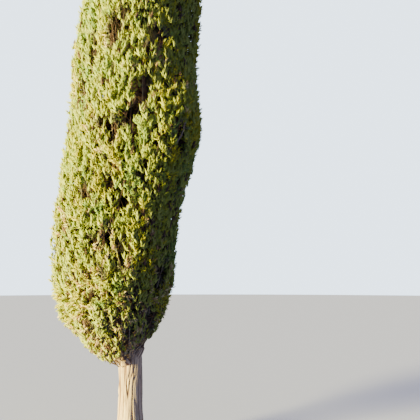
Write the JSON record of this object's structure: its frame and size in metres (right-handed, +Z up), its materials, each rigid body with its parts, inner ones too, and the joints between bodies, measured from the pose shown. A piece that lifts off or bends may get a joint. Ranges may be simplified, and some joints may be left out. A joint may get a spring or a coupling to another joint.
{
  "type": "cypress tree",
  "caption": "Tall narrow upright cypress tree: one straight trunk with a flared foot, steep boughs and a dense spire of evergreen foliage in upright overlapping plumes.",
  "frame": {"origin": "centre of the trunk's flat cut at ground level", "axes": "+Z up the trunk, -Y towards the viewer of the picture, +X to the viewer's right"},
  "size_m": [1.5575, 1.4837, 9.985],
  "materials": {
    "bark": "dry grey-tan bark in long shallow fibrous ridges",
    "bough_bark": "thin orange-brown bark, matte",
    "foliage": "fine scale-leaf sprays, yellow-green to olive with some browned tips, matte"
  },
  "bodies": {
    "root": {"bough_tier1_1": "bough_bark", "bough_tier1_2": "bough_bark", "bough_tier1_3": "bough_bark", "bough_tier1_4": "bough_bark", "bough_tier1_5": "bough_bark", "bough_tier2_1": "bough_bark", "bough_tier2_2": "bough_bark", "bough_tier2_3": "bough_bark", "bough_tier2_4": "bough_bark", "bough_tier2_5": "bough_bark", "bough_tier3_1": "bough_bark", "bough_tier3_2": "bough_bark", "bough_tier3_3": "bough_bark", "bough_tier3_4": "bough_bark", "bough_tier3_5": "bough_bark", "bough_tier4_1": "bough_bark", "bough_tier4_2": "bough_bark", "bough_tier4_3": "bough_bark", "bough_tier4_4": "bough_bark", "bough_tier4_5": "bough_bark", "plume_leader": "foliage", "plume_tier1_1": "foliage", "plume_tier1_2": "foliage", "plume_tier1_3": "foliage", "plume_tier1_4": "foliage", "plume_tier1_5": "foliage", "plume_tier2_1": "foliage", "plume_tier2_2": "foliage", "plume_tier2_3": "foliage", "plume_tier2_4": "foliage", "plume_tier2_5": "foliage", "plume_tier3_1": "foliage", "plume_tier3_2": "foliage", "plume_tier3_3": "foliage", "plume_tier3_4": "foliage", "plume_tier3_5": "foliage", "plume_tier4_1": "foliage", "plume_tier4_2": "foliage", "plume_tier4_3": "foliage", "plume_tier4_4": "foliage", "plume_tier4_5": "foliage", "plume_tier5_1": "foliage", "plume_tier5_2": "foliage", "plume_tier5_3": "foliage", "plume_tier5_4": "foliage", "plume_tier5_5": "foliage", "plume_tier6_1": "foliage", "plume_tier6_2": "foliage", "plume_tier6_3": "foliage", "plume_tier6_4": "foliage", "plume_tier7_1": "foliage", "plume_tier7_2": "foliage", "plume_tier7_3": "foliage", "trunk": "bark"}
  },
  "joints": []
}
